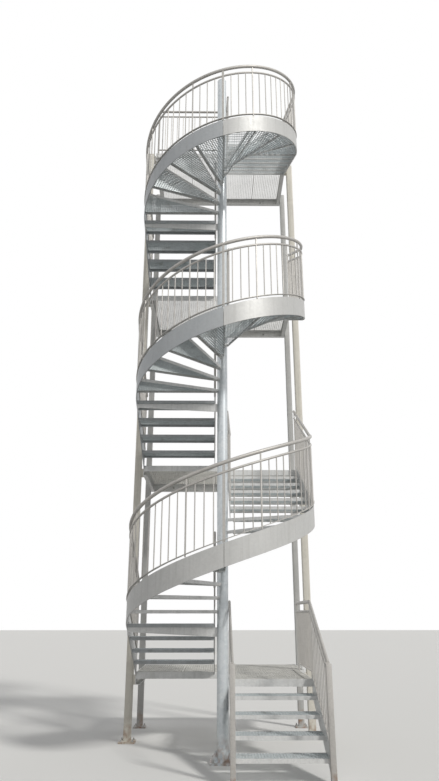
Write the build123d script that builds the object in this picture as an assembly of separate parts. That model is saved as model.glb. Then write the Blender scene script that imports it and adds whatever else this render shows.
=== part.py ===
from build123d import *

import os
from math import cos, degrees, hypot, pi, radians, sin

# Steel fire escape stair round a single column, with landings against a wall.
# Millimetres. The column's axis is Z, its foot is at the origin on the ground, the wall is towards +Y
# and the round front of the stair is towards -Y. The stair climbs anticlockwise, seen from above:
# left flight, winders round the column, right flight, landing.

# Climb
FIRST_RISE = 230.0
RISE = 160.0
GOING = 300.0
GROUND_TREADS = 4
LEFT_TREADS = 4
WINDERS = 8
RIGHT_TREADS = 5
STOREYS = 3
NOSING_LAP = 25.0

# Plan
STRING_OUTER_RADIUS = 1180.0
FLIGHT_INNER_X = 105.0
GROUND_INNER_X = 93.0
GROUND_SET_IN = 69.0
LANDING_REAR_Y = 2550.0
FIRST_LANDING_FRONT_Y = 200.0
FIT = 0.3

# Angles round the column, in degrees
LEFT_TURN = 180.0
FRONT_TURN = 270.0
RIGHT_TURN = 360.0

# Column
COLUMN_RADIUS = 69.85
COLUMN_WALL = 6.3
COLUMN_ABOVE_LANDING = 450.0
CAP_RADIUS = 78.0
CAP_SIDES = 24
CAP_THICKNESS = 8.0
COLUMN_PLATE = 300.0
BASE_THICKNESS = 20.0
COLUMN_BOLT_SPACING = 230.0
COLUMN_BOLT_RADIUS = 11.0
GUSSET_HEIGHT = 110.0
GUSSET_REACH = 70.0
GUSSET_LIP = 15.0
GUSSET_THICKNESS = 10.0

# Posts that carry the landings
POST_SIDE = 100.0
POST_WALL = 5.0
POST_GAP = 35.0
POST_SETBACK = 60.0
POST_PLATE = 220.0
POST_BOLT_SPACING = 160.0
POST_BOLT_RADIUS = 9.0
BRACKET_HEIGHT = 120.0
BRACKET_LENGTH = 80.0
REAR_POST_SIDE = 90.0
REAR_POST_INSET = 55.0
REAR_PLATE = 180.0
REAR_BOLT_SPACING = 135.0

# Strings
STRING_THICKNESS = 12.0
STRING_ABOVE_NOSING = 55.0
STRING_DEPTH = 260.0
INNER_STRING_THICKNESS = 10.0
INNER_STRING_DEPTH = 245.0

# Arm from the column
ARM_THICKNESS = 12.0
ARM_ROOT_DEPTH = 115.0
ARM_TIP_DEPTH = 55.0
ARM_FLANGE_WIDTH = 80.0
ARM_FLANGE_DEPTH = 95.0
ARM_FLANGE_THICKNESS = 10.0

# Gratings
TREAD_DEPTH = 40.0
DECK_DEPTH = 30.0
GRATING_BORDER = 10.0
GRATING_BAR = 8.0
TREAD_SLOTS = 3
WINDER_SLOTS = 2
DECK_SLOTS = 4

# Landing channels
WEB_THICKNESS = 8.0
FLANGE_WIDTH = 60.0
FLANGE_THICKNESS = 9.0
FRONT_BEAM_DEPTH = 85.0
SIDE_BEAM_DEPTH = 160.0
WALL_BOLT_SPACING = 1600.0
WALL_BOLT_RADIUS = 9.0

# Railings, with heights above the line of nosings
HANDRAIL_HEIGHT = 956.0
GROUND_HANDRAIL_HEIGHT = 900.0
HANDRAIL_RADIUS = 21.2
RAIL_SIDES = 8
UPPER_RAIL_DROP = 113.0
UPPER_RAIL_WIDTH = 24.0
LOWER_RAIL_HEIGHT = 91.0
RAIL_BAR_WIDTH = 30.0
RAIL_BAR_THICKNESS = 9.0
BALUSTER_SIDE = 14.0
BALUSTER_PITCH = 107.0
RAIL_POST_SIDE = 16.0
BALUSTERS_PER_POST = 8
INNER_RAIL_RADIUS = 16.85
INNER_POST_SIDE = 20.0
INNER_POSTS = 3
OUTER_NEWEL_SIDE = 60.0
INNER_NEWEL_SIDE = 55.0

# Worked out from the above
RISERS = LEFT_TREADS + WINDERS + RIGHT_TREADS + 1
STOREY = RISERS * RISE
LEVELS = [FIRST_RISE + GROUND_TREADS * RISE + n * STOREY for n in range(STOREYS + 1)]
WINDER_ANGLE = (RIGHT_TURN - LEFT_TURN) / WINDERS
LEFT_FRONT_Y = LEFT_TREADS * GOING
RIGHT_FRONT_Y = RIGHT_TREADS * GOING
GROUND_FRONT_Y = FIRST_LANDING_FRONT_Y - GROUND_TREADS * GOING
STRING_INNER_RADIUS = STRING_OUTER_RADIUS - STRING_THICKNESS
STRING_RADIUS = STRING_OUTER_RADIUS - STRING_THICKNESS / 2
GROUND_OUTER_X = STRING_OUTER_RADIUS - GROUND_SET_IN
INNER_STRING_X = FLIGHT_INNER_X - INNER_STRING_THICKNESS / 2
STEP_X = FLIGHT_INNER_X - INNER_STRING_THICKNESS
GROUND_STEP_X = GROUND_INNER_X - INNER_STRING_THICKNESS
GROUND_TREAD_END_X = GROUND_OUTER_X - STRING_THICKNESS - FIT
COLUMN_TOP = LEVELS[-1] + COLUMN_ABOVE_LANDING
HELIX_PITCH = 2 * WINDERS * RISE
SLOPE = RISE / GOING
WINDERS_START = (LEFT_TREADS + 1) * RISE
WINDERS_END = WINDERS_START + WINDERS * RISE
STRING_BELOW_NOSING = STRING_DEPTH - STRING_ABOVE_NOSING
RAIL_FOOT = STRING_ABOVE_NOSING + FIT + RAIL_POST_SIDE / 2 * SLOPE
SIDES = {"left": -1, "right": 1}
FRONT_Y = {"left": LEFT_FRONT_Y, "right": RIGHT_FRONT_Y}


def box(x0, x1, y0, y1, z0, z1):
    """A block between two corners."""
    return Pos(x0, y0, z0) * Box(x1 - x0, y1 - y0, z1 - z0, align=(Align.MIN, Align.MIN, Align.MIN))


def fuse(shapes):
    """One solid from pieces that touch or overlap."""
    first, *others = shapes
    return first.fuse(*others) if others else first


def bar(x, y, z0, z1, side, turn=0.0):
    """A square bar that stands upright, with one side turned to face an angle."""
    upright = Box(side, side, z1 - z0, align=(Align.CENTER, Align.CENTER, Align.MIN))
    return Pos(x, y, z0) * Rot(0, 0, turn) * upright


def outline(*points):
    """A flat face inside a closed line."""
    return make_face(Polyline(*points, close=True))


# Lines of a storey, as heights above the landing below


def winder_nosing(turn):
    """Height of the nosing line at an angle round the column, from the left turn to the right one."""
    return WINDERS_START + (turn - LEFT_TURN) / WINDER_ANGLE * RISE


def flight_nosing(word, y):
    """Height of the nosing line along the left or the right flight."""
    return WINDERS_END + y * SLOPE if word == "right" else WINDERS_START - y * SLOPE


def winder_run(profile, start):
    """A profile drawn at (radius, height above nosing), screwed round a quarter turn from an angle."""
    turn = radians(start)
    upright = Plane(origin=(0, 0, 0), x_dir=(cos(turn), sin(turn), 0), z_dir=(sin(turn), -cos(turn), 0))
    lift = Pos(0, 0, winder_nosing(start))
    path = lift * Rot(0, 0, start) * Helix(HELIX_PITCH, HELIX_PITCH / 4, STRING_RADIUS)
    return sweep(lift * (upright * profile), path=path, is_frenet=True)


def flight_run(profile, word, y0=0.0):
    """A profile drawn at (distance from the middle, height above nosing), drawn out along a flight."""
    side = SIDES[word]
    length = FRONT_Y[word] - y0
    upright = Plane(origin=(0, y0, flight_nosing(word, y0)), x_dir=(side, 0, 0), z_dir=(0, -side, 0))
    return extrude(upright * profile, amount=length * hypot(1, SLOPE), dir=(0, 1, side * SLOPE))


def outer_run(profile, word):
    """Half of a storey's outer line: a quarter turn of winders and the flight beside it."""
    start = FRONT_TURN if word == "right" else LEFT_TURN
    return [winder_run(profile, start), flight_run(profile, word)]


# Strings


def outer_string(word):
    """The cheek plate of half a storey, from the joint at the front to the landing."""
    middle = STRING_ABOVE_NOSING - STRING_DEPTH / 2
    profile = Pos(STRING_RADIUS, middle) * Rectangle(STRING_THICKNESS, STRING_DEPTH)
    return fuse(outer_run(profile, word))


def inner_string(word):
    """The cheek plate beside the column, from the winders to the landing."""
    middle = STRING_ABOVE_NOSING - INNER_STRING_DEPTH / 2
    profile = Pos(INNER_STRING_X, middle) * Rectangle(INNER_STRING_THICKNESS, INNER_STRING_DEPTH)
    return flight_run(profile, word, NOSING_LAP + FIT)


def ground_nosing(y):
    """Height of the ground flight's nosing line, which is level past the first landing's edge."""
    return min(FIRST_RISE + (y - GROUND_FRONT_Y) * SLOPE, LEVELS[0])


def ground_string(x0, x1):
    """A cheek plate of the ground flight, cut level at the ground."""
    y0, y1 = GROUND_FRONT_Y, FIRST_LANDING_FRONT_Y
    ground_y = max(y0 + (STRING_BELOW_NOSING - FIRST_RISE) / SLOPE, y0 + FIT)
    side_view = outline(
        (y0, 0), (ground_y, 0), (y1, ground_nosing(y1) - STRING_BELOW_NOSING),
        (y1, ground_nosing(y1) + STRING_ABOVE_NOSING), (y0, ground_nosing(y0) + STRING_ABOVE_NOSING),
    )
    return extrude(Plane(origin=(x0, 0, 0), x_dir=(0, 1, 0), z_dir=(1, 0, 0)) * side_view, amount=x1 - x0)


# Treads


def grating(x0, x1, y0, y1, top, thickness, slots_across, slots_deep):
    """A rectangular grating with a border, cut into slots."""
    width, depth = x1 - x0, y1 - y0
    slot_x = (width - 2 * GRATING_BORDER - (slots_across - 1) * GRATING_BAR) / slots_across
    slot_y = (depth - 2 * GRATING_BORDER - (slots_deep - 1) * GRATING_BAR) / slots_deep
    grid = GridLocations(slot_x + GRATING_BAR, slot_y + GRATING_BAR, slots_across, slots_deep)
    plan = Rectangle(width, depth) - grid * Rectangle(slot_x, slot_y)
    return Pos((x0 + x1) / 2, (y0 + y1) / 2, top - thickness) * extrude(plan, amount=thickness)


def straight_tread(x0, x1, nosing_y, back, top):
    """A grating tread between two strings, from its nosing towards back, which is +1 or -1 along y."""
    y0, y1 = sorted((nosing_y, nosing_y + back * (GOING + NOSING_LAP)))
    return grating(x0, x1, y0, y1, top, TREAD_DEPTH, 1, TREAD_SLOTS)


def ground_tread(number):
    """A tread of the ground flight, counted from the ground."""
    nosing_y = GROUND_FRONT_Y + number * GOING
    return straight_tread(GROUND_INNER_X, GROUND_TREAD_END_X, nosing_y, 1, FIRST_RISE + number * RISE)


def winder_tread(number):
    """A wedge of grating between the column and the outer string, with bars across it."""
    reach = 2 * STRING_OUTER_RADIUS
    half = radians(WINDER_ANGLE / 2)
    edge = Vector(cos(half), sin(half)) * reach
    lap = Vector(-sin(half), cos(half)) * NOSING_LAP
    wedge = outline((0, 0), (edge.X, -edge.Y), (edge.X + lap.X, edge.Y + lap.Y), (lap.X, lap.Y))
    ring = Circle(STRING_INNER_RADIUS - FIT) - Circle(COLUMN_RADIUS + FIT)
    plan = wedge & ring
    opening = offset(plan, -GRATING_BORDER, kind=Kind.INTERSECTION)
    first = 2 * COLUMN_RADIUS
    opening &= Pos(first + reach / 2, 0) * Rectangle(reach, reach)
    pitch = (STRING_INNER_RADIUS - first) / WINDER_SLOTS
    for n in range(1, WINDER_SLOTS):
        opening -= Pos(first + n * pitch, 0) * Rectangle(GRATING_BAR, reach)
    turn = LEFT_TURN + (number + 0.5) * WINDER_ANGLE
    top = winder_nosing(LEFT_TURN + number * WINDER_ANGLE)
    return Pos(0, 0, top - TREAD_DEPTH) * Rot(0, 0, turn) * extrude(plan - opening, amount=TREAD_DEPTH)


def carrying_arm():
    """The tapered arm from the column to the outer string, which carries the left flight's end."""
    top = WINDERS_START - RISE - TREAD_DEPTH
    tip = STRING_INNER_RADIUS - FIT
    front_view = outline((0, 0), (-tip, 0), (-tip, -ARM_TIP_DEPTH), (0, -ARM_ROOT_DEPTH))
    upright = Plane(origin=(0, ARM_THICKNESS, top), x_dir=(1, 0, 0), z_dir=(0, -1, 0))
    arm = extrude(upright * front_view, amount=ARM_THICKNESS)
    arm -= Pos(0, 0, top) * Cylinder(COLUMN_RADIUS + FIT, 3 * ARM_ROOT_DEPTH)
    flange = box(-tip, ARM_FLANGE_THICKNESS - tip, 0, ARM_FLANGE_WIDTH, top - ARM_FLANGE_DEPTH, top)
    return fuse([arm, flange])


# Landings


def landing_plan(first):
    """A landing's plan, stepped back between its flights; the first reaches to the ground flight."""
    x = STRING_OUTER_RADIUS
    step = [(STEP_X, LEFT_FRONT_Y), (STEP_X, RIGHT_FRONT_Y)]
    if first:
        step = [(GROUND_STEP_X, LEFT_FRONT_Y), (GROUND_STEP_X, FIRST_LANDING_FRONT_Y),
                (GROUND_OUTER_X, FIRST_LANDING_FRONT_Y), (GROUND_OUTER_X, RIGHT_FRONT_Y)]
    return outline((-x, LANDING_REAR_Y), (-x, LEFT_FRONT_Y), *step, (x, RIGHT_FRONT_Y), (x, LANDING_REAR_Y))


def three_sides(width):
    """A strip of a given width along a landing's left, rear and right edges."""
    x, y = STRING_OUTER_RADIUS, LANDING_REAR_Y
    return outline((-x, LEFT_FRONT_Y), (-x, y), (x, y), (x, RIGHT_FRONT_Y), (x - width, RIGHT_FRONT_Y),
                   (x - width, y - width), (width - x, y - width), (width - x, LEFT_FRONT_Y))


def landing_frame(level, first):
    """Edge channels: shallow along the front, deep at the sides and the wall, drilled for the wall."""
    plan = landing_plan(first)
    web = plan - offset(plan, -WEB_THICKNESS, kind=Kind.INTERSECTION)
    shelf = plan - offset(plan, -FLANGE_WIDTH, kind=Kind.INTERSECTION)
    low = level - SIDE_BEAM_DEPTH
    frame = fuse([
        Pos(0, 0, level - FRONT_BEAM_DEPTH) * extrude(web, amount=FRONT_BEAM_DEPTH),
        Pos(0, 0, level - DECK_DEPTH - FLANGE_THICKNESS) * extrude(shelf, amount=FLANGE_THICKNESS),
        Pos(0, 0, low) * extrude(three_sides(WEB_THICKNESS), amount=SIDE_BEAM_DEPTH),
        Pos(0, 0, low) * extrude(three_sides(FLANGE_WIDTH), amount=FLANGE_THICKNESS),
    ])
    for x in (-WALL_BOLT_SPACING / 2, WALL_BOLT_SPACING / 2):
        drill = Rot(90, 0, 0) * Cylinder(WALL_BOLT_RADIUS, 4 * WEB_THICKNESS)
        frame -= Pos(x, LANDING_REAR_Y, level - (DECK_DEPTH + SIDE_BEAM_DEPTH) / 2) * drill
    return frame


def landing_deck(level, first):
    """The walking surface: grating panels on the channels' shelf, with bars from front to rear."""
    x0, x1 = WEB_THICKNESS - STRING_OUTER_RADIUS, STRING_OUTER_RADIUS - WEB_THICKNESS
    rear = LANDING_REAR_Y - WEB_THICKNESS
    front_left, front_right = LEFT_FRONT_Y + WEB_THICKNESS, RIGHT_FRONT_Y + WEB_THICKNESS
    step = GROUND_STEP_X + WEB_THICKNESS if first else STEP_X - WEB_THICKNESS
    panels = [(x0, step - FIT, front_left, rear), (step, x1, front_right, rear)]
    if first:
        corner_x, corner_y = GROUND_OUTER_X - WEB_THICKNESS, FIRST_LANDING_FRONT_Y + WEB_THICKNESS
        panels.append((step, corner_x, corner_y, front_right - FIT))
    return [grating(*panel, level, DECK_DEPTH, DECK_SLOTS, 1) for panel in panels]


# Railings


def tube_profile(radius, x, height):
    """The upright cut through a sloping tube, as a polygon of few sides."""
    stretch = hypot(1, SLOPE)
    corners = []
    for n in range(RAIL_SIDES):
        turn = 2 * pi * n / RAIL_SIDES
        corners.append((x + radius * cos(turn), height + radius * stretch * sin(turn)))
    return outline(*corners)


def bar_profile(width, thickness, x, height):
    """The upright cut through a sloping bar."""
    return Pos(x, height) * Rectangle(width, thickness)


def rail_profiles(x, handrail_height):
    """Handrail, upper rail and lower rail."""
    return [
        tube_profile(HANDRAIL_RADIUS, x, handrail_height),
        bar_profile(UPPER_RAIL_WIDTH, UPPER_RAIL_WIDTH, x, handrail_height - UPPER_RAIL_DROP),
        bar_profile(RAIL_BAR_WIDTH, RAIL_BAR_THICKNESS, x, LOWER_RAIL_HEIGHT),
    ]


def baluster(x, y, nosing, turn=0.0, handrail_height=HANDRAIL_HEIGHT):
    """A thin bar between the lower and the upper rail."""
    foot, head = nosing + LOWER_RAIL_HEIGHT, nosing + handrail_height - UPPER_RAIL_DROP
    return bar(x, y, foot, head, BALUSTER_SIDE, turn)


def rail_post(x, y, nosing, turn=0.0, foot=RAIL_FOOT, handrail_height=HANDRAIL_HEIGHT):
    """A thicker bar from the string or the landing up to the handrail."""
    return bar(x, y, nosing + foot, nosing + handrail_height, RAIL_POST_SIDE, turn)


def outer_railing(word):
    """Handrail, upper and lower rail, balusters and posts of half a storey, welded into one panel."""
    side = SIDES[word]
    pieces = []
    for profile in rail_profiles(STRING_RADIUS, HANDRAIL_HEIGHT):
        pieces += outer_run(profile, word)
    inset = degrees((RAIL_POST_SIDE / 2 + FIT) / STRING_RADIUS)
    front = FRONT_TURN + side * inset
    joined = RIGHT_TURN if word == "right" else LEFT_TURN
    gaps = round(abs(joined - front) / degrees(BALUSTER_PITCH / STRING_RADIUS))
    for n in range(gaps):
        turn = front + n * (joined - front) / gaps
        x, y = STRING_RADIUS * cos(radians(turn)), STRING_RADIUS * sin(radians(turn))
        is_post = n == 0 or n % BALUSTERS_PER_POST == BALUSTERS_PER_POST // 2
        make = rail_post if is_post else baluster
        pieces.append(make(x, y, winder_nosing(turn), turn))
    last = FRONT_Y[word] - RAIL_POST_SIDE / 2
    gaps = round(last / BALUSTER_PITCH)
    for n in range(gaps + 1):
        y = n * last / gaps
        make = rail_post if n in (0, gaps) else baluster
        pieces.append(make(side * STRING_RADIUS, y, flight_nosing(word, y)))
    return fuse(pieces)


def inner_railing(word):
    """The inner handrail of a flight on posts that stand on the inner string."""
    first = NOSING_LAP + FIT + INNER_POST_SIDE / 2
    last = FRONT_Y[word] - INNER_POST_SIDE / 2
    rail = tube_profile(INNER_RAIL_RADIUS, INNER_STRING_X, HANDRAIL_HEIGHT)
    pieces = [flight_run(rail, word, first - INNER_POST_SIDE / 2)]
    x = SIDES[word] * INNER_STRING_X
    foot = STRING_ABOVE_NOSING + FIT + INNER_POST_SIDE / 2 * SLOPE
    for n in range(INNER_POSTS):
        y = first + n * (last - first) / (INNER_POSTS - 1)
        nosing = flight_nosing(word, y)
        pieces.append(bar(x, y, nosing + foot, nosing + HANDRAIL_HEIGHT, INNER_POST_SIDE))
    return fuse(pieces)


def ground_run(profile, y1):
    """A profile drawn out up the ground flight and then level along the first landing."""
    y0, edge = GROUND_FRONT_Y, FIRST_LANDING_FRONT_Y
    sloping = Plane(origin=(0, y0, ground_nosing(y0)), x_dir=(1, 0, 0), z_dir=(0, -1, 0)) * profile
    level = Plane(origin=(0, edge, LEVELS[0]), x_dir=(1, 0, 0), z_dir=(0, -1, 0)) * profile
    return [
        extrude(sloping, amount=(edge - y0) * hypot(1, SLOPE), dir=(0, 1, SLOPE)),
        extrude(level, amount=y1 - edge, dir=(0, 1, 0)),
    ]


def ground_newel(x, side):
    """The post at the foot of the ground flight, up to the handrail's end."""
    y = GROUND_FRONT_Y - side / 2
    return bar(x, y, 0, FIRST_RISE + GROUND_HANDRAIL_HEIGHT, side)


def ground_railing(x, y_end, newel_side, with_balusters):
    """The railing from the newel up the ground flight and along the first landing."""
    profiles = [tube_profile(INNER_RAIL_RADIUS, x, GROUND_HANDRAIL_HEIGHT)]
    if with_balusters:
        profiles = rail_profiles(x, GROUND_HANDRAIL_HEIGHT)
    pieces = [ground_newel(x, newel_side)]
    for profile in profiles:
        pieces += ground_run(profile, y_end)
    posts = [FIRST_LANDING_FRONT_Y + RAIL_POST_SIDE / 2, y_end - RAIL_POST_SIDE / 2]
    for y in posts:
        pieces.append(rail_post(x, y, LEVELS[0], foot=FIT, handrail_height=GROUND_HANDRAIL_HEIGHT))
    stations = [GROUND_FRONT_Y] + posts if with_balusters else []
    for y0, y1 in zip(stations, stations[1:]):
        gaps = round((y1 - y0) / BALUSTER_PITCH)
        for n in range(1, gaps):
            y = y0 + n * (y1 - y0) / gaps
            pieces.append(baluster(x, y, ground_nosing(y), handrail_height=GROUND_HANDRAIL_HEIGHT))
    return fuse(pieces)


def top_guard():
    """The guard across the top landing's left front, where no flight goes on."""
    y = LEFT_FRONT_Y + WEB_THICKNESS + RAIL_BAR_WIDTH / 2
    x0 = RAIL_BAR_WIDTH - STRING_INNER_RADIUS
    x1 = STEP_X - RAIL_BAR_WIDTH
    level = LEVELS[-1]
    across = Plane(origin=(x0, y, level), x_dir=(0, 1, 0), z_dir=(1, 0, 0))
    pieces = [extrude(across * profile, amount=x1 - x0) for profile in rail_profiles(0, HANDRAIL_HEIGHT)]
    first, last = x0 + RAIL_POST_SIDE / 2, x1 - RAIL_POST_SIDE / 2
    gaps = round((last - first) / BALUSTER_PITCH)
    for n in range(gaps + 1):
        x = first + n * (last - first) / gaps
        pieces.append(rail_post(x, y, level, foot=0) if n in (0, gaps) else baluster(x, y, level))
    return fuse(pieces)


# Column and posts


def drilled_plate(x, y, side, bolt_spacing, bolt_radius):
    """A base plate on the ground with four bolt holes."""
    plan = Rectangle(side, side) - GridLocations(bolt_spacing, bolt_spacing, 2, 2) * Circle(bolt_radius)
    return Pos(x, y, 0) * extrude(plan, amount=BASE_THICKNESS)


def column():
    """The round tube that carries the winders."""
    tube = Circle(COLUMN_RADIUS) - Circle(COLUMN_RADIUS - COLUMN_WALL)
    return Pos(0, 0, BASE_THICKNESS) * extrude(tube, amount=COLUMN_TOP - BASE_THICKNESS)


def column_base():
    """The column's plate and its four gussets."""
    near, far = COLUMN_RADIUS + FIT, COLUMN_RADIUS + GUSSET_REACH
    gusset = Plane.XZ * outline(
        (near, BASE_THICKNESS), (far, BASE_THICKNESS), (far, BASE_THICKNESS + GUSSET_LIP),
        (near + GUSSET_LIP, BASE_THICKNESS + GUSSET_HEIGHT), (near, BASE_THICKNESS + GUSSET_HEIGHT),
    )
    pieces = [drilled_plate(0, 0, COLUMN_PLATE, COLUMN_BOLT_SPACING, COLUMN_BOLT_RADIUS)]
    for quarter in range(4):
        pieces.append(Rot(0, 0, 90 * quarter) * extrude(gusset, amount=GUSSET_THICKNESS / 2, both=True))
    return fuse(pieces)


def column_cap():
    """The disc that closes the column."""
    return Pos(0, 0, COLUMN_TOP) * extrude(RegularPolygon(CAP_RADIUS, CAP_SIDES), amount=CAP_THICKNESS)


def square_post(x, y, side, plate, bolt_spacing):
    """A square tube on its base plate, up to the top landing."""
    tube = Rectangle(side, side) - Rectangle(side - 2 * POST_WALL, side - 2 * POST_WALL)
    return [
        drilled_plate(x, y, plate, bolt_spacing, POST_BOLT_RADIUS),
        Pos(x, y, BASE_THICKNESS) * extrude(tube, amount=LEVELS[-1] - BASE_THICKNESS),
    ]


def landing_post(word):
    """The front post beside the landings, with a bracket at each of them."""
    side = SIDES[word]
    near = STRING_OUTER_RADIUS
    x = side * (near + POST_GAP + POST_SIDE / 2)
    y = FRONT_Y[word] + POST_SETBACK
    pieces = square_post(x, y, POST_SIDE, POST_PLATE, POST_BOLT_SPACING)
    x0, x1 = sorted((side * near, side * (near + POST_GAP)))
    y0, y1 = y - BRACKET_LENGTH / 2, y + BRACKET_LENGTH / 2
    for level in LEVELS:
        low = level - SIDE_BEAM_DEPTH
        pieces.append(box(x0, x1, y0, y1, low, low + BRACKET_HEIGHT))
    return fuse(pieces)


def rear_post(word):
    """The post at a rear corner of the landings, against their side channels."""
    x = SIDES[word] * (STRING_OUTER_RADIUS + REAR_POST_SIDE / 2)
    y = LANDING_REAR_Y - REAR_POST_INSET - REAR_POST_SIDE / 2
    return fuse(square_post(x, y, REAR_POST_SIDE, REAR_PLATE, REAR_BOLT_SPACING))


# The nodes


def save(name, solids, lift=0.0):
    """Write one node's solids to its file, lifted to their landing."""
    placed = [Pos(0, 0, lift) * solid for solid in solids]
    export_step(placed[0] if len(placed) == 1 else Compound(children=placed), f"parts/{name}.step")


def storey_pieces():
    """Every node of one storey, from the level of the landing below."""
    inner, outer = FLIGHT_INNER_X, STRING_INNER_RADIUS - FIT
    pieces = {
        "inner_strings": [inner_string(word) for word in SIDES],
        "carrying_arms": [carrying_arm()],
        "winders": [winder_tread(n) for n in range(WINDERS)],
        "left_treads": [
            straight_tread(-outer, -inner, LEFT_FRONT_Y - n * GOING, -1, (n + 1) * RISE)
            for n in range(LEFT_TREADS)
        ],
        "right_treads": [
            straight_tread(inner, outer, n * GOING, 1, WINDERS_END + n * RISE)
            for n in range(RIGHT_TREADS)
        ],
    }
    for word in SIDES:
        pieces[f"outer_string_{word}"] = [outer_string(word)]
        pieces[f"outer_railing_{word}"] = [outer_railing(word)]
        pieces[f"inner_railing_{word}"] = [inner_railing(word)]
    return pieces


def main():
    os.makedirs("parts", exist_ok=True)
    save("column", [column()])
    save("column_base", [column_base()])
    save("column_cap", [column_cap()])
    for word in SIDES:
        save(f"{word}_post", [landing_post(word)])
        save(f"{word}_rear_post", [rear_post(word)])
    for n, level in enumerate(LEVELS):
        save(f"landing_{n + 1}_frame", [landing_frame(level, n == 0)])
        save(f"landing_{n + 1}_deck", landing_deck(level, n == 0))
    for name, solids in storey_pieces().items():
        for n, level in enumerate(LEVELS[:-1]):
            save(f"{name}_{n + 1}", solids, level)
    save("ground_strings", [
        ground_string(GROUND_STEP_X, GROUND_INNER_X),
        ground_string(GROUND_OUTER_X - STRING_THICKNESS, GROUND_OUTER_X),
    ])
    save("ground_treads", [ground_tread(n) for n in range(GROUND_TREADS)])
    save("ground_railing_outer", [
        ground_railing(GROUND_OUTER_X - STRING_THICKNESS / 2, RIGHT_FRONT_Y, OUTER_NEWEL_SIDE, True)
    ])
    save("ground_railing_inner", [
        ground_railing(GROUND_INNER_X - INNER_STRING_THICKNESS / 2, LEFT_FRONT_Y, INNER_NEWEL_SIDE, False)
    ])
    save("top_guard", [top_guard()])


main()
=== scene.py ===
from math import atan2, cos, degrees, hypot, pi, radians, sin, sqrt
from typing import NamedTuple

import bmesh
import bpy
from mathutils import Matrix, Vector


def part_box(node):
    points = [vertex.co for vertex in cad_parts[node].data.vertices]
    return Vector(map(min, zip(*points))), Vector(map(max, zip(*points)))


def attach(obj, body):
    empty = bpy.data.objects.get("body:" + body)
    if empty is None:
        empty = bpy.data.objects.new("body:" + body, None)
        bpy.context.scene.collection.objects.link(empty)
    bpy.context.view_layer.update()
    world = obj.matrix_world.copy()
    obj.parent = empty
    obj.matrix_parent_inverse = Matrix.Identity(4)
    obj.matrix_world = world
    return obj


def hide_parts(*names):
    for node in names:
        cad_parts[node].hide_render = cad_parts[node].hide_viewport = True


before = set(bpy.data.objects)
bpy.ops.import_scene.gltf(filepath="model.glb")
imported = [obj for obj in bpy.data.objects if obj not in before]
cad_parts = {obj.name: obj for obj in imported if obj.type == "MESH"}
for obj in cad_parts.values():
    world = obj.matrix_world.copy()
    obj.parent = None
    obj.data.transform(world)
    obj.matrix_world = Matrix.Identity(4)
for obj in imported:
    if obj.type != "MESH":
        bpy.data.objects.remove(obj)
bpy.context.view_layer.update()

bl_info = {
    "name": "Fire Escape Stair",
    "version": (1, 0, 0),
    "blender": (4, 5, 0),
    "location": "View3D > Sidebar > Fire Escape",
    "description": "Zinc-coated steel stair round a single column, with landings and open gratings",
    "category": "Add Mesh",
}

# Lengths are in metres. The column's axis is Z, the landings' rear is towards +Y, and the stair
# climbs anticlockwise, seen from above: left flight, winders round the column, right flight,
# landing.

# The body that the pieces ride on, each side's sign along x, and the first landing's height
ROOT = "root"
SIDES = {"left": -1, "right": 1}
GROUND_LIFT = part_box("landing_1_deck")[1].z

# Counts
STOREYS = (1, 2, 3)
LANDINGS = (1, 2, 3, 4)
GROUND_TREADS = 4
LEFT_TREADS = 4
WINDERS = 8
RIGHT_TREADS = 5
FIRST_WINDER = LEFT_TREADS + 1
FIRST_RIGHT_TREAD = FIRST_WINDER + WINDERS

# Degrees round the column
LEFT_TURN, FRONT_TURN, RIGHT_TURN = 180, 270, 360
QUARTER_TURN = 90
WINDER_TURN = (RIGHT_TURN - LEFT_TURN) / WINDERS

# Play left between pieces that lie side by side
FIT = 0.0003


def length(name, description, default):
    """A length that the panel shows."""
    return bpy.props.FloatProperty(
        name=name, description=description, default=default, unit="LENGTH", precision=4)


def colour(name, description, default):
    """A colour that the panel shows."""
    return bpy.props.FloatVectorProperty(
        name=name, description=description, default=(*default, 1.0), size=4, subtype="COLOR",
        min=0.0, max=1.0)


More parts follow.
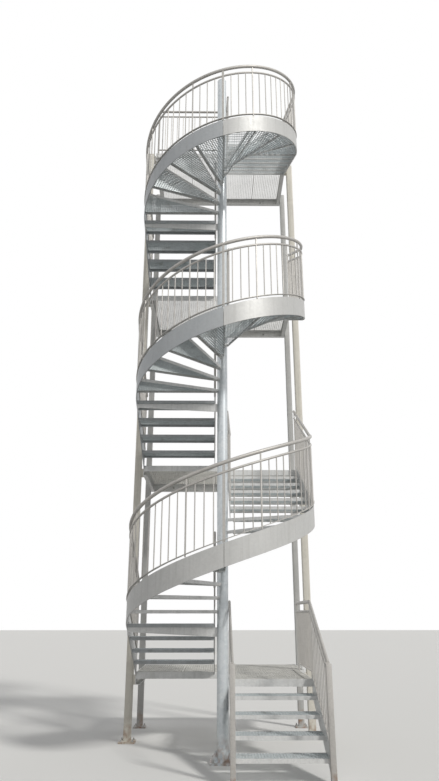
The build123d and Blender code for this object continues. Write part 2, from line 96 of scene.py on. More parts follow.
class StairSizes(bpy.types.PropertyGroup):
    """Sizes of the stair, in metres"""

    rise: length("Rise", "Height of one step", 0.16)
    going: length("Going", "Depth of one step of a straight flight", 0.3)
    storey: length("Storey", "Height from one landing to the next", 2.88)
    string_radius: length("String radius", "Outer face of the curved string", 1.18)
    string_thickness: length("String thickness", "Thickness of the cheek plates", 0.012)
    string_above: length("String above nosing", "Top edge of the string above the nosings", 0.055)
    string_depth: length("String depth", "Upright depth of the outer string", 0.26)
    inner_x: length("Flight inner face", "Inner edge of a flight from the column's axis", 0.105)
    inner_thickness: length("Inner string thickness", "Strings beside the column", 0.01)
    ground_inner: length("Ground flight inner face", "Inner edge of its treads", 0.093)
    ground_outer: length("Ground flight outer face", "Outer face of its outer string", 1.111)
    outer_newel: length("Outer newel width", "Post at the foot of the outer ground railing", 0.06)
    inner_newel: length("Inner newel width", "Post at the foot of the inner ground railing", 0.055)
    landing_rear: length("Landing rear", "Rear channel from the column's axis", 2.55)
    left_front: length("Left front", "Front edge of the landings on the left", 1.2)
    right_front: length("Right front", "Front edge of the landings on the right", 1.5)
    first_front: length("First landing front", "Its front edge on the right", 0.2)
    first_rise: length("First rise", "Height of the first step above the ground", 0.23)
    handrail: length("Handrail height", "Handrail above the line of nosings", 0.956)
    ground_handrail: length("Ground handrail height", "Handrail of the ground flight", 0.9)
    rail_radius: length("Handrail radius", "Radius of the handrail tube", 0.0212)
    upper_drop: length("Upper rail drop", "Upper rail below the handrail", 0.113)
    upper_radius: length("Upper rail radius", "Radius of the upper rail tube", 0.0135)
    lower_rail: length("Lower rail height", "Lower rail above the line of nosings", 0.091)
    baluster: length("Baluster width", "Width of a baluster", 0.014)
    baluster_pitch: length("Baluster pitch", "Distance between balusters", 0.107)
    rail_post: length("Rail post width", "Width of a post of the railing", 0.016)
    inner_rail_radius: length("Inner handrail radius", "Handrails beside the column", 0.01685)
    column_radius: length("Column radius", "Radius of the column", 0.06985)
    tread_depth: length("Tread depth", "Height of a tread's nosing and end plates", 0.04)
    lap: length("Nosing lap", "Overlap of a tread with the next one", 0.025)
    bar_depth: length("Bearing bar depth", "Height of a grating's bearing bars", 0.02)
    grating_pitch: length("Bearing bar pitch", "Distance between bearing bars", 0.0333)
    cross_pitch: length("Cross bar pitch", "Distance between cross bars", 0.0333)

    @property
    def slope(self):
        """Rise over going."""
        return self.rise / self.going

    @property
    def tube_stretch(self):
        """How much taller than wide the upright cut of a sloping tube is."""
        return hypot(1, self.slope)

    @property
    def string_inner(self):
        """Inner face of the outer string."""
        return self.string_radius - self.string_thickness

    @property
    def string_line(self):
        """Radius of the middle of the outer string."""
        return self.string_radius - self.string_thickness / 2

    @property
    def ground_start(self):
        """Nosing of the ground flight's first tread."""
        return self.first_front - GROUND_TREADS * self.going

    def level(self, number):
        """Height of a landing, counted from 1, which is also the foot of the storey above it."""
        return GROUND_LIFT + (number - 1) * self.storey

    def front(self, side):
        """Front edge of the landings on one side, where a flight meets them."""
        return self.left_front if side == "left" else self.right_front

    def winder_nosing(self, turn):
        """Height of the nosing line above the storey's foot, at degrees round the column."""
        return (FIRST_WINDER + (turn - LEFT_TURN) / WINDER_TURN) * self.rise

    def flight_nosing(self, side, y):
        """Height of the nosing line above the storey's foot, along a straight flight."""
        first = FIRST_WINDER if side == "left" else FIRST_RIGHT_TREAD
        return first * self.rise + SIDES[side] * y * self.slope

    def ground_nosing(self, y):
        """Height of the ground flight's nosing line, level past the first landing's edge."""
        return min(self.first_rise + (y - self.ground_start) * self.slope, GROUND_LIFT)


class StairColours(bpy.types.PropertyGroup):
    """Colours of the stair's finishes"""

    string_zinc: colour("String zinc", "Smooth zinc of the strings", (0.63, 0.63, 0.62))
    string_shade: colour("String zinc, worn", "Worn patches of the strings", (0.52, 0.525, 0.52))
    plate_zinc: colour("Plate zinc", "Bright zinc of nosings and frames", (0.82, 0.82, 0.81))
    plate_shade: colour("Plate zinc, worn", "Worn patches of the plates", (0.66, 0.67, 0.67))
    # Painted shade: a darker zinc for the upper left strings and the left treads' plates, standing
    # in for the shade on their side away from the sun
    dull_zinc: colour("Dull zinc", "Greyer zinc of the upper left strings", (0.47, 0.49, 0.5))
    dull_shade: colour("Dull zinc, worn", "Worn patches of the dull zinc", (0.38, 0.4, 0.42))
    column_zinc: colour("Column zinc", "Bluish zinc of the column", (0.76, 0.79, 0.81))
    column_shade: colour("Column zinc, dull", "Dull crystals of the column", (0.56, 0.61, 0.64))
    rail_zinc: colour("Rail zinc", "Bright zinc of the rails", (0.6, 0.58, 0.55))
    rail_shade: colour("Rail zinc, dull", "Dull zinc of the rails", (0.42, 0.41, 0.395))
    grating_zinc: colour("Grating zinc", "Blue-grey zinc of the treads", (0.73, 0.77, 0.78))
    grating_shade: colour("Grating zinc, dull", "Dull zinc of the treads", (0.5, 0.55, 0.57))
    deck_zinc: colour("Deck zinc", "Zinc of the landings' gratings", (0.76, 0.75, 0.71))
    deck_shade: colour("Deck zinc, dull", "Dull zinc of the landings", (0.56, 0.56, 0.54))
    # Painted light and shade: the front posts' pale cream stands in for warm sunlight on them, and
    # the rear posts' greyer coat for the shade they stand in; both are one coat
    post_cream: colour("Post coat", "Pale coat of the front posts", (0.83, 0.8, 0.72))
    post_shade: colour("Post coat, worn", "Weathered coat of the posts", (0.66, 0.635, 0.57))
    rear_coat: colour("Rear post coat", "Greyer coat of the rear posts", (0.6, 0.6, 0.585))
    rear_shade: colour("Rear post coat, worn", "Weathered rear posts", (0.45, 0.455, 0.45))
    bolt_zinc: colour("Bolt zinc", "Zinc of nuts and bolts", (0.5, 0.51, 0.5))
    grime: colour("Grime", "Dirt that runs down and gathers", (0.17, 0.16, 0.14))
    rust: colour("Rust", "Rust at welds and feet", (0.3, 0.15, 0.07))


def sizes():
    """The stair's sizes, as the panel has them."""
    return bpy.context.scene.stair_sizes


# Shader nodes


def feed(tree, socket, value):
    """Links an input to a socket, or gives it a plain value."""
    if isinstance(value, bpy.types.NodeSocket):
        tree.links.new(value, socket)
    else:
        socket.default_value = value


def add_node(tree, kind, inputs, **settings):
    """A node with its settings, whose named or numbered inputs are sockets or plain values."""
    node = tree.nodes.new(kind)
    for key, value in settings.items():
        setattr(node, key, value)
    for key, value in inputs.items():
        feed(tree, node.inputs[key], value)
    return node


def calculate(tree, operation, *values):
    """The result of a sum."""
    inputs = dict(enumerate(values))
    return add_node(tree, "ShaderNodeMath", inputs, operation=operation).outputs[0]


def mix_colour(tree, factor, first, second):
    """A blend of two colours."""
    inputs = {0: factor, 6: first, 7: second}
    return add_node(tree, "ShaderNodeMix", inputs, data_type="RGBA").outputs[2]


def ramp(tree, value, low, high):
    """A value stretched so that low gives 0 and high gives 1."""
    return add_node(tree, "ShaderNodeMapRange", {0: value, 1: low, 2: high}).outputs[0]


def noise(tree, vector, scale, detail, roughness=0.5):
    """Cloudy noise."""
    inputs = {"Vector": vector, "Scale": scale, "Detail": detail, "Roughness": roughness}
    return add_node(tree, "ShaderNodeTexNoise", inputs).outputs[0]


def fade(tree, distance, reach):
    """1 where a distance is nothing, down to 0 where it is reach or more."""
    near = calculate(tree, "SUBTRACT", 1.0, calculate(tree, "DIVIDE", distance, reach))
    return add_node(tree, "ShaderNodeClamp", {0: near}).outputs[0]


def node_group(name, values, results):
    """An empty shader node group that takes a Vector and named values, and gives named results."""
    group = bpy.data.node_groups.new(name, "ShaderNodeTree")
    group.interface.new_socket(name="Vector", in_out="INPUT", socket_type="NodeSocketVector")
    for label, default in values.items():
        socket = group.interface.new_socket(
            name=label, in_out="INPUT", socket_type="NodeSocketFloat")
        socket.default_value = default
    for label in results:
        group.interface.new_socket(name=label, in_out="OUTPUT", socket_type="NodeSocketFloat")
    enter, leave = group.nodes.new("NodeGroupInput"), group.nodes.new("NodeGroupOutput")
    return group, enter.outputs, leave.inputs


def make_spangle(name):
    """Zinc's crystals: patches of tone, with a fine grain in each."""
    group, given, result = node_group(name, {"Scale": 60.0, "Contrast": 0.5}, ("Tone", "Relief"))
    place = given["Vector"]
    cells = add_node(group, "ShaderNodeTexVoronoi", {"Vector": place, "Scale": given["Scale"]})
    tones = add_node(group, "ShaderNodeSeparateColor", {0: cells.outputs["Color"]}).outputs
    broad = ramp(group, noise(group, place, scale=3.2, detail=4.0), low=0.32, high=0.68)
    both = calculate(group, "ADD", calculate(group, "MULTIPLY", tones[0], 0.55),
                     calculate(group, "MULTIPLY", broad, 0.45))
    centred = calculate(group, "SUBTRACT", both, 0.5)
    scaled = calculate(group, "MULTIPLY", centred, given["Contrast"])
    feed(group, result["Tone"], calculate(group, "ADD", scaled, 0.5))
    grain = calculate(group, "MULTIPLY", noise(group, place, scale=320.0, detail=2.0), 0.35)
    feed(group, result["Relief"], calculate(group, "ADD", grain, tones[1]))
    return group


def make_weathering(name):
    """Streaks that run down upright faces, and blotches of dirt."""
    group, given, result = node_group(name, {"Streaks": 0.4, "Blotches": 0.3}, ("Mask",))
    stretched = add_node(group, "ShaderNodeMapping",
                         {"Vector": given["Vector"], "Scale": (26.0, 26.0, 1.1)}).outputs[0]
    runs = noise(group, stretched, scale=1.0, detail=5.0, roughness=0.62)
    runs = ramp(group, runs, low=0.5, high=0.78)
    spots = noise(group, given["Vector"], scale=7.0, detail=6.0, roughness=0.6)
    spots = ramp(group, spots, low=0.54, high=0.74)
    dirt = calculate(group, "MAXIMUM", calculate(group, "MULTIPLY", runs, given["Streaks"]),
                     calculate(group, "MULTIPLY", spots, given["Blotches"]))
    feed(group, result["Mask"], dirt)
    return group


def make_foot_rust(name):
    """Rust that climbs a little way up from the ground, broken up by noise."""
    group, given, result = node_group(name, {"Height": 0.25}, ("Mask",))
    apart = add_node(group, "ShaderNodeSeparateXYZ", {0: given["Vector"]}).outputs
    near = fade(group, apart["Z"], given["Height"])
    broken = noise(group, given["Vector"], scale=14.0, detail=6.0)
    broken = ramp(group, broken, low=0.4, high=0.7)
    feed(group, result["Mask"], calculate(group, "MULTIPLY", near, broken))
    return group


def make_joint_stain(name):
    """A dark line where two plates meet in the plane X = 0."""
    group, given, result = node_group(name, {"Width": 0.006}, ("Mask",))
    apart = add_node(group, "ShaderNodeSeparateXYZ", {0: given["Vector"]}).outputs
    away = calculate(group, "ABSOLUTE", apart["X"])
    feed(group, result["Mask"], fade(group, away, given["Width"]))
    return group


GROUP_MAKERS = {
    "Zinc Spangle": make_spangle,
    "Weathering": make_weathering,
    "Foot Rust": make_foot_rust,
    "Joint Stain": make_joint_stain,
}


def place_group(tree, name, **inputs):
    """A shared group, built once, set in a material with its own values."""
    shared = bpy.data.node_groups.get(name) or GROUP_MAKERS[name](name)
    return add_node(tree, "ShaderNodeGroup", inputs, node_tree=shared).outputs


# Materials


class Finish(NamedTuple):
    """How a coat of zinc or paint looks. Its two colours are named as the panel has them."""

    bright: str
    dull: str
    metallic: float
    roughness: float
    crystals: float
    contrast: float
    streaks: float
    blotches: float
    relief: float
    rust_height: float = 0.0
    joint_width: float = 0.0


# bright, dull, metallic, roughness, crystals per metre, contrast, streaks, blotches, relief
FINISHES = {
    "string_zinc": Finish(
        "string_zinc", "string_shade", 0.22, 0.5, 46.0, 0.5, 0.2, 0.1, 0.05, joint_width=0.006),
    # Painted shade: the upper left strings' finish, darker for the shade on their side
    "string_dull": Finish(
        "dull_zinc", "dull_shade", 0.3, 0.48, 46.0, 0.5, 0.2, 0.12, 0.05, joint_width=0.006),
    "plate_zinc": Finish("plate_zinc", "plate_shade", 0.25, 0.46, 60.0, 0.7, 0.2, 0.2, 0.06),
    # Painted shade: the left treads' plates, darker for the shade they lie in
    "plate_dull": Finish("dull_zinc", "dull_shade", 0.25, 0.5, 60.0, 0.7, 0.3, 0.3, 0.06),
    "deck_zinc": Finish("deck_zinc", "deck_shade", 0.25, 0.5, 80.0, 0.8, 0.1, 0.35, 0.08),
    "column_zinc": Finish(
        "column_zinc", "column_shade", 0.5, 0.34, 30.0, 0.85, 0.16, 0.08, 0.06, rust_height=0.3),
    "rail_zinc": Finish(
        "rail_zinc", "rail_shade", 0.4, 0.52, 90.0, 0.6, 0.15, 0.2, 0.05, rust_height=0.2),
    "grating_zinc": Finish(
        "grating_zinc", "grating_shade", 0.35, 0.5, 80.0, 0.8, 0.15, 0.45, 0.08),
    # Painted light and shade: a sunlit cream coat for the front posts and a shaded grey copy for
    # the rear posts
    "post_coat": Finish(
        "post_cream", "post_shade", 0.08, 0.5, 18.0, 0.4, 0.3, 0.15, 0.04, rust_height=0.35),
    "rear_coat": Finish(
        "rear_coat", "rear_shade", 0.08, 0.5, 18.0, 0.4, 0.3, 0.15, 0.04, rust_height=0.35),
    "bolt_zinc": Finish("bolt_zinc", "rail_shade", 0.7, 0.38, 140.0, 0.7, 0.1, 0.4, 0.08),
}

# How much smoother bright crystals are, how much rougher dirt is, and the height of the relief
TONE_POLISH = 0.16
DIRT_ROUGHNESS = 0.3
RELIEF_HEIGHT = 0.002


def material(name):
    """A finish as a material, built once: crystals, streaks of dirt and rust at the foot."""
    if name in bpy.data.materials:
        return bpy.data.materials[name]
    finish = FINISHES[name]
    colours = bpy.context.scene.stair_colours
    made = bpy.data.materials.new(name)
    made.use_nodes = True
    tree = made.node_tree
    place = tree.nodes.new("ShaderNodeTexCoord").outputs["Object"]
    zinc = place_group(tree, "Zinc Spangle", Vector=place, Scale=finish.crystals,
                       Contrast=finish.contrast)
    dirt = place_group(tree, "Weathering", Vector=place, Streaks=finish.streaks,
                       Blotches=finish.blotches)["Mask"]
    dull, bright = getattr(colours, finish.dull), getattr(colours, finish.bright)
    tint = mix_colour(tree, zinc["Tone"], dull, bright)
    tint = mix_colour(tree, dirt, tint, colours.grime)
    if finish.rust_height:
        foot = place_group(tree, "Foot Rust", Vector=place, Height=finish.rust_height)
        tint = mix_colour(tree, foot["Mask"], tint, colours.rust)
    if finish.joint_width:
        line = place_group(tree, "Joint Stain", Vector=place, Width=finish.joint_width)
        tint = mix_colour(tree, line["Mask"], tint, colours.grime)
    rough = calculate(tree, "ADD", calculate(tree, "MULTIPLY", zinc["Tone"], -TONE_POLISH),
                      finish.roughness + TONE_POLISH / 2)
    rough = calculate(tree, "ADD", rough, calculate(tree, "MULTIPLY", dirt, DIRT_ROUGHNESS))
    relief = add_node(tree, "ShaderNodeBump", {
        "Strength": finish.relief, "Distance": RELIEF_HEIGHT, "Height": zinc["Relief"]})
    shader = tree.nodes["Principled BSDF"].inputs
    feed(tree, shader["Base Color"], tint)
    feed(tree, shader["Metallic"], finish.metallic)
    feed(tree, shader["Roughness"], rough)
    feed(tree, shader["Normal"], relief.outputs[0])
    return made


# Mesh tools

STAIR_AXES = Matrix().freeze()

# A bolt's washer and hexagon head, as shares of the head's radius
WASHER_REACH = 1.45
WASHER_TOP = 0.3
WASHER_SIDES = 16
HEAD_TOP = 1.25
HEAD_SIDES = 6
BOLT_SUNK = 0.001

SWEEP_STEPS = 40
SMOOTH_ANGLE = radians(32)


def only(items, kind):
    """The items of one kind that a bmesh operator gives back."""
    return [item for item in items if isinstance(item, kind)]


def edges_of(verts):
    """The edges at some vertices, each once and always in the same order."""
    return list(dict.fromkeys(edge for vert in verts for edge in vert.link_edges))


def edge_height(edge):
    """How far an edge climbs."""
    return abs(edge.verts[0].co.z - edge.verts[1].co.z)


def round_edges(bm, edges, radius, segments):
    """Rounds edges off."""
    bmesh.ops.bevel(bm, geom=edges, offset=radius, affect="EDGES", segments=segments,
                    profile=0.5, material=-1)


def add_block(bm, low, high, place=STAIR_AXES):
    """A block between two corners, given in the axes of place."""
    low, high = Vector(low), Vector(high)
    shape = Matrix.Translation((low + high) / 2) @ Matrix.Diagonal((*(high - low), 1))
    return bmesh.ops.create_cube(bm, size=1, matrix=place @ shape)["verts"]


def add_rounded_block(bm, low, high, radius, place=STAIR_AXES, segments=2):
    """A block with every edge rounded."""
    round_edges(bm, edges_of(add_block(bm, low, high, place)), radius, segments)


def add_rod(bm, start, end, radius, sides=8, place=STAIR_AXES):
    """A round bar between two points."""
    start, end = Vector(start), Vector(end)
    axis = end - start
    aim = Matrix.Translation((start + end) / 2) @ axis.to_track_quat("Z", "Y").to_matrix().to_4x4()
    bmesh.ops.create_cone(bm, cap_ends=True, cap_tris=False, segments=sides, radius1=radius,
                          radius2=radius, depth=axis.length, matrix=place @ aim)


def add_bolt(bm, point, axis, radius):
    """A washer and a hexagon head that stands out from a face along an axis."""
    point, axis = Vector(point), Vector(axis)
    washer_top = point + axis * radius * WASHER_TOP
    add_rod(bm, point - axis * BOLT_SUNK, washer_top, radius * WASHER_REACH, WASHER_SIDES)
    add_rod(bm, washer_top, point + axis * radius * HEAD_TOP, radius, HEAD_SIDES)


def evenly(first, last, pitch):
    """Evenly spaced places about a pitch apart, with both ends among them."""
    gaps = max(2, round(abs(last - first) / pitch))
    return [first + n * (last - first) / gaps for n in range(gaps + 1)]


def between(first, last, pitch):
    """Evenly spaced places about a pitch apart, without the two ends."""
    return evenly(first, last, pitch)[1:-1]


def turn_by(angle):
    """A turn about the column's axis, in degrees."""
    return Matrix.Rotation(radians(angle), 4, "Z")


def eased_rectangle(inner, outer, low, top, ease):
    """Points of a rectangular upright section, with its corners taken off."""
    return [(inner + ease, low), (outer - ease, low), (outer, low + ease), (outer, top - ease),
            (outer - ease, top), (inner + ease, top), (inner, top - ease), (inner, low + ease)]


def tube_section(radius, centre, height, sides, stretch=1.0):
    """Points round a tube's upright cut."""
    turns = [2 * pi * n / sides for n in range(sides)]
    return [(centre + radius * cos(turn), height + radius * stretch * sin(turn)) for turn in turns]


def section_ring(bm, section, place):
    """A closed face from points of an upright section, as its vertices and edges."""
    verts = [bm.verts.new(place @ Vector((across, 0, up))) for across, up in section]
    edges = [bm.edges.new((verts[n - 1], verts[n])) for n in range(len(verts))]
    bm.faces.new(verts)
    return verts, edges


def spin_ring(bm, ring, angle, steps, climb=0.0):
    """Turns a ring round the column's axis, in radians, with a climb, and gives its last edges."""
    got = bmesh.ops.spin(
        bm, geom=ring[0] + ring[1], cent=(0, 0, 0), axis=(0, 0, 1), dvec=(0, 0, climb / steps),
        angle=angle, steps=steps, use_merge=False, use_duplicate=False)
    return only(got["geom_last"], bmesh.types.BMEdge)


def push_ring(bm, edges, offset):
    """Draws a ring of edges out along a line, and gives its last edges."""
    got = bmesh.ops.extrude_edge_only(bm, edges=edges)["geom"]
    fresh = only(got, bmesh.types.BMVert)
    bmesh.ops.translate(bm, verts=fresh, vec=offset)
    return [edge for edge in only(got, bmesh.types.BMEdge) if all(v in fresh for v in edge.verts)]


def outer_sweep(bm, section, side, storey, gap=0.0):
    """A section run from the joint at the front round a quarter turn, and along the flight."""
    s = sizes()
    sign = SIDES[side]
    gap_turn = degrees(gap / s.string_line)
    first = FRONT_TURN + sign * gap_turn
    turned = QUARTER_TURN - gap_turn
    foot = Vector((0, 0, s.level(storey) + s.winder_nosing(first)))
    ring = section_ring(bm, section, Matrix.Translation(foot) @ turn_by(first))
    last = spin_ring(bm, ring, radians(turned) * sign, SWEEP_STEPS,
                     turned / WINDER_TURN * s.rise * sign)
    run = s.front(side)
    last = push_ring(bm, last, Vector((0, run, sign * run * s.slope)))
    bmesh.ops.edgeloop_fill(bm, edges=last)


def straight_sweep(bm, section, start, *offsets):
    """A section run along straight lines, one after the other."""
    edges = section_ring(bm, section, start)[1]
    for offset in offsets:
        edges = push_ring(bm, edges, Vector(offset))
    bmesh.ops.edgeloop_fill(bm, edges=edges)


def finish_piece(name, bm, finish, nodes=()):
    """Turns a bmesh into a finished piece that rides on the stair and stands for CAD nodes."""
    bmesh.ops.recalc_face_normals(bm, faces=bm.faces)
    mesh = bpy.data.meshes.new(name)
    bm.to_mesh(mesh)
    bm.free()
    mesh.shade_smooth()
    mesh.set_sharp_from_angle(angle=SMOOTH_ANGLE)
    mesh.materials.append(material(finish))
    piece = bpy.data.objects.new(name, mesh)
    bpy.context.scene.collection.objects.link(piece)
    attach(piece, ROOT)
    if nodes:
        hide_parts(*nodes)


# Column and posts

BASE_THICKNESS = 0.02
COLUMN_SIDES = 64
DISC_SIDES = 48
DISC_LIP = 0.001
DISC_EASE = 0.002

# Washer, nut and stud of an anchor bolt, as radius, top above the plate, and sides
COLUMN_ANCHOR = ((0.02, 0.004, 18), (0.0155, 0.02, 6), (0.0095, 0.038, 12))
POST_ANCHOR = ((0.016, 0.004, 16), (0.0125, 0.016, 6), (0.0075, 0.028, 10))
COLUMN_BOLT_SPACING = 0.23

POST_BEHIND_FRONT = 0.06
POST_CORNER = 0.009
PLATE_EASE = 0.0015
REAR_POST_INSET = 0.055
BRACKET_DROP = 0.16
BRACKET_HEIGHT = 0.12
BRACKET_LENGTH = 0.08
BRACKET_EASE = 0.0012


class Post(NamedTuple):
    """What sets the front posts and the rear posts apart, in metres."""

    suffix: str
    width: float
    plate: float
    bolt_spacing: float
    gap: float
    finish: str


# The front posts take the painted sunlit coat, the rear posts the painted-shade coat
FRONT_POST = Post("post", 0.1, 0.22, bolt_spacing=0.16, gap=0.035, finish="post_coat")
REAR_POST = Post("rear_post", 0.09, 0.18, bolt_spacing=0.135, gap=0.0, finish="rear_coat")


def build_anchor_bolts(name, x, y, spacing, layers):
    """Four anchor bolts that stand up from a foot's plate."""
    bm = bmesh.new()
    for dx in (-spacing / 2, spacing / 2):
        for dy in (-spacing / 2, spacing / 2):
            low = BASE_THICKNESS
            for radius, above, sides in layers:
                top = BASE_THICKNESS + above
                add_rod(bm, (x + dx, y + dy, low), (x + dx, y + dy, top), radius, sides)
                low = top
    finish_piece(f"{name}_anchor_bolts", bm, "bolt_zinc")


def build_column():
    """The column's tube, the disc on top and the anchor bolts."""
    s = sizes()
    low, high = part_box("column")
    bm = bmesh.new()
    add_rod(bm, (0, 0, low.z), (0, 0, high.z), s.column_radius, COLUMN_SIDES)
    finish_piece("column_tube", bm, "column_zinc", ["column"])
    low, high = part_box("column_cap")
    bm = bmesh.new()
    add_rod(bm, (0, 0, low.z), (0, 0, high.z), s.column_radius + DISC_LIP, DISC_SIDES)
    rims = [edge for edge in bm.edges if edge_height(edge) < DISC_EASE]
    round_edges(bm, rims, DISC_EASE, segments=2)
    finish_piece("column_top_disc", bm, "column_zinc", ["column_cap"])
    build_anchor_bolts("column", 0, 0, COLUMN_BOLT_SPACING, COLUMN_ANCHOR)


def build_post(side, kind):
    """A square tube with rounded corners, its plate, its brackets and its bolts."""
    s = sizes()
    sign = SIDES[side]
    name = f"{side}_{kind.suffix}"
    half, plate = kind.width / 2, kind.plate / 2
    x = sign * (s.string_radius + kind.gap + half)
    y = s.landing_rear - REAR_POST_INSET - half
    if kind is FRONT_POST:
        y = s.front(side) + POST_BEHIND_FRONT
    bm = bmesh.new()
    verts = add_block(bm, (x - half, y - half, BASE_THICKNESS),
                      (x + half, y + half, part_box(name)[1].z))
    corners = [edge for edge in edges_of(verts) if edge_height(edge) > kind.width]
    round_edges(bm, corners, POST_CORNER, segments=4)
    add_rounded_block(bm, (x - plate, y - plate, 0), (x + plate, y + plate, BASE_THICKNESS),
                      PLATE_EASE)
    if kind is FRONT_POST:
        near, far = sorted((sign * s.string_radius, sign * (s.string_radius + kind.gap)))
        for number in LANDINGS:
            foot = s.level(number) - BRACKET_DROP
            add_rounded_block(bm, (near, y - BRACKET_LENGTH / 2, foot),
                              (far, y + BRACKET_LENGTH / 2, foot + BRACKET_HEIGHT), BRACKET_EASE)
    finish_piece(f"{name}_tube", bm, kind.finish, [name])
    build_anchor_bolts(name, x, y, kind.bolt_spacing, POST_ANCHOR)


# Strings

STRING_EASE = 0.0015
JOINT_GAP = 0.001
JOINT_PLATE_THICKNESS = 0.008
JOINT_PLATE_REACH = 0.055
JOINT_PLATE_FOOT = 0.015
JOINT_PLATE_TOP = 0.012
JOINT_BOLTS = 4
JOINT_BOLT_RADIUS = 0.009
JOINT_BOLT_DROP = 0.04
JOINT_BOLT_PITCH = 0.058
JOINT_BOLT_REACH = 0.032


def build_outer_string(side, storey):
    """One half of a storey's outer string, with the end plate and bolts of its joint."""
    s = sizes()
    sign = SIDES[side]
    section = eased_rectangle(s.string_inner, s.string_radius, s.string_above - s.string_depth,
                              s.string_above, STRING_EASE)
    bm = bmesh.new()
    outer_sweep(bm, section, side, storey, JOINT_GAP)
    top = s.level(storey) + s.winder_nosing(FRONT_TURN) + s.string_above
    face = sign * (JOINT_GAP + JOINT_PLATE_THICKNESS)
    near, far = sorted((sign * JOINT_GAP, face))
    add_block(bm, (near, -s.string_inner - JOINT_GAP, top - s.string_depth + JOINT_PLATE_FOOT),
              (far, -s.string_inner + JOINT_PLATE_REACH, top - JOINT_PLATE_TOP))
    # The upper left halves take darker zinc as painted shade
    finish = "string_dull" if side == "left" and storey > 1 else "string_zinc"
    finish_piece(f"string_plate_{side}_{storey}", bm, finish,
                 [f"outer_string_{side}_{storey}"])
    bm = bmesh.new()
    for n in range(JOINT_BOLTS):
        z = top - JOINT_BOLT_DROP - n * JOINT_BOLT_PITCH
        add_bolt(bm, (face, -s.string_inner + JOINT_BOLT_REACH, z), (sign, 0, 0),
                 JOINT_BOLT_RADIUS)
    finish_piece(f"string_joint_bolts_{side}_{storey}", bm, "bolt_zinc")


# Gratings. Bars and rods lie a little under the top of their frame.

BAR_HALF = 0.0015
BAR_SUNK = 0.0006
ROD_HALF = 0.0028
ROD_DEPTH = 0.008
ROD_SUNK = 0.0012
PLATE = 0.004
NOSING = 0.03
NOSING_SHEET = 0.003
TREAD_BOLT_SHARES = (0.25, 0.75)
TREAD_BOLT_DROP = 0.024
TREAD_BOLT_RADIUS = 0.006


def add_bars(bm, ends, places, half, low, top, along_y):
    """Parallel bars between two ends, along x or along y."""
    for place in places:
        corners = (ends[0], place - half), (ends[1], place + half)
        if along_y:
            corners = corners[0][::-1], corners[1][::-1]
        add_block(bm, (*corners[0], low), (*corners[1], top))


def add_flat_grating(bm, x_ends, y_ends, top, along_y):
    """Upright bearing bars along x or along y, and thin cross bars the other way."""
    s = sizes()
    bar_ends, rod_ends = (y_ends, x_ends) if along_y else (x_ends, y_ends)
    add_bars(bm, bar_ends, between(*rod_ends, s.grating_pitch), BAR_HALF, top - s.bar_depth,
             top - BAR_SUNK, along_y)
    add_bars(bm, rod_ends, between(*bar_ends, s.cross_pitch), ROD_HALF, top - ROD_DEPTH,
             top - ROD_SUNK, not along_y)


class Tread(NamedTuple):
    """A straight tread: its ends, its nosing, which way its back lies along y, and its top."""

    left: float
    right: float
    nosing: float
    back: int
    top: float

    def span(self, near, far):
        """Two distances behind the nosing, as places along y in order."""
        return sorted((self.nosing + self.back * near, self.nosing + self.back * far))


def add_straight_tread(parts, tread):
    """A nosing angle, a rear bar, end plates bolted to the strings, bearing and cross bars."""
    s = sizes()
    low, top = tread.top - s.tread_depth, tread.top
    left, right = tread.left + PLATE, tread.right - PLATE
    deep = s.going + s.lap
    for (x1, x2), (y1, y2), foot in (
            ((left, right), tread.span(0, PLATE), low),
            ((left, right), tread.span(PLATE, NOSING), top - NOSING_SHEET),
            ((tread.left, left), tread.span(0, deep), low),
            ((right, tread.right), tread.span(0, deep), low),
            ((left, right), tread.span(deep - PLATE, deep), low)):
        add_block(parts["plates"], (x1, y1, foot), (x2, y2, top))
    add_flat_grating(parts["grating"], (left, right), tread.span(NOSING, deep - PLATE), top,
                     along_y=False)
    for share in TREAD_BOLT_SHARES:
        y = tread.nosing + tread.back * deep * share
        for x, way in ((left, 1), (right, -1)):
            add_bolt(parts["bolts"], (x, y, top - TREAD_BOLT_DROP), (way, 0, 0),
                     TREAD_BOLT_RADIUS)


def build_straight_treads(name, treads, plates="plate_zinc"):
    """All the straight treads of a flight."""
    parts = {part: bmesh.new() for part in ("plates", "grating", "bolts")}
    for tread in treads:
        add_straight_tread(parts, tread)
    finish_piece(f"{name}_plates", parts["plates"], plates, [name])
    finish_piece(f"{name}_grating", parts["grating"], "grating_zinc")
    finish_piece(f"{name}_bolts", parts["bolts"], "bolt_zinc")


def build_flight_treads(storey):
    """The treads of a storey's left and right flights."""
    s = sizes()
    inner, outer, lift = s.inner_x, s.string_inner - FIT, s.level(storey)
    # The left treads' plates take darker zinc as painted shade
    build_straight_treads(f"left_treads_{storey}", [
        Tread(-outer, -inner, nosing=s.left_front - n * s.going, back=-1,
              top=lift + (n + 1) * s.rise)
        for n in range(LEFT_TREADS)], plates="plate_dull")
    build_straight_treads(f"right_treads_{storey}", [
        Tread(inner, outer, nosing=n * s.going, back=1,
              top=lift + (FIRST_RIGHT_TREAD + n) * s.rise)
        for n in range(RIGHT_TREADS)])


def build_ground_treads():
    """The treads of the ground flight."""
    s = sizes()
    inner, outer = s.ground_inner, s.ground_outer - s.string_thickness - FIT
    build_straight_treads("ground_treads", [
        Tread(inner, outer, nosing=s.ground_start + n * s.going, back=1,
              top=s.first_rise + n * s.rise)
        for n in range(GROUND_TREADS)])


def add_beam(bm, start, end, width, low, top, place):
    """An upright flat bar between two points of the plan, whose width lies to its left."""
    along = Vector(end) - Vector(start)
    aim = Matrix.Translation((*start, 0)) @ Matrix.Rotation(atan2(along.y, along.x), 4, "Z")
    add_block(bm, (0, 0, low), (along.length, width, top), place @ aim)


